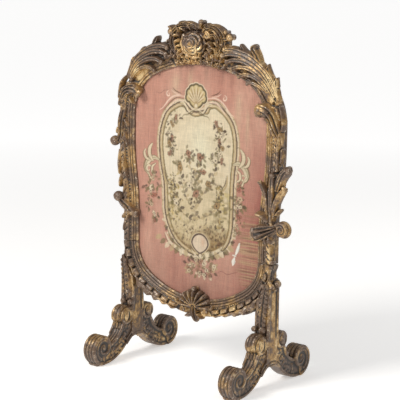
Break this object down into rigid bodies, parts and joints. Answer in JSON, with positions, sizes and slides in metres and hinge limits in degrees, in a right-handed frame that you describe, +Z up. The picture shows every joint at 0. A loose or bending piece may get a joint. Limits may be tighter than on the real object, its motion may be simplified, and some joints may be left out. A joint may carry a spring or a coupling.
{
  "type": "fire screen",
  "caption": "Upright carved and gilded frame on scroll-footed trestles, holding a woven panel; turn buttons behind hold the panel in its rebate.",
  "frame": {"origin": "on the floor, midway between the four feet, in the middle plane of the frame", "axes": "+X to the viewer's right across the screen, +Y to the back, +Z up"},
  "size_m": [0.7198, 0.428, 1.1167],
  "materials": {
    "gilt_wood": "aged gilding, worn",
    "worn_gilt_wood": "aged gilding, dull",
    "dark_gilt_wood": "aged gilding, dark",
    "tapestry": "woven wool",
    "linen": "plain woven",
    "brass": "aged",
    "pine": "bare softwood"
  },
  "bodies": {
    "screen": {"top_rail": "gilt_wood", "bottom_rail": "worn_gilt_wood", "left_stile": "gilt_wood", "right_stile": "gilt_wood", "frame_dowels": "pine", "crest_board": "dark_gilt_wood", "crest_boss": "gilt_wood", "crest_scroll_left": "gilt_wood", "crest_scroll_right": "gilt_wood", "crest_flowers": "gilt_wood", "top_leaf_left": "worn_gilt_wood", "top_leaf_right": "worn_gilt_wood", "shoulder_leaf_left": "worn_gilt_wood", "shoulder_leaf_right": "worn_gilt_wood", "side_curl_left": "gilt_wood", "side_curl_right": "gilt_wood", "side_leaf_left": "worn_gilt_wood", "side_volute_right": "gilt_wood", "bottom_shell": "worn_gilt_wood", "left_post": "worn_gilt_wood", "right_post": "worn_gilt_wood", "post_leaf_left": "dark_gilt_wood", "post_leaf_right": "dark_gilt_wood", "post_dowels": "pine", "front_left_leg": "worn_gilt_wood", "front_right_leg": "worn_gilt_wood", "rear_left_leg": "worn_gilt_wood", "rear_right_leg": "worn_gilt_wood", "leg_dowels": "pine", "strainer_top": "pine", "strainer_bottom": "pine", "strainer_left": "pine", "strainer_right": "pine", "strainer_bar": "pine", "tapestry": "tapestry", "lining": "linen", "button_screws": "brass"},
    "button_1": {"turn_button_1": "brass"},
    "button_2": {"turn_button_2": "brass"},
    "button_3": {"turn_button_3": "brass"},
    "button_4": {"turn_button_4": "brass"}
  },
  "joints": [
    {"name": "turn_button_1_turn", "type": "hinge", "parent": "screen", "child": "button_1", "pos_m": [-0.2675, 0.0222, 0.44319], "axis": [0, 1, 0], "continuous": true},
    {"name": "turn_button_2_turn", "type": "hinge", "parent": "screen", "child": "button_2", "pos_m": [-0.288, 0.0222, 0.77008], "axis": [0, 1, 0], "continuous": true},
    {"name": "turn_button_3_turn", "type": "hinge", "parent": "screen", "child": "button_3", "pos_m": [0.2675, 0.0222, 0.44319], "axis": [0, 1, 0], "continuous": true},
    {"name": "turn_button_4_turn", "type": "hinge", "parent": "screen", "child": "button_4", "pos_m": [0.288, 0.0222, 0.77008], "axis": [0, 1, 0], "continuous": true}
  ]
}
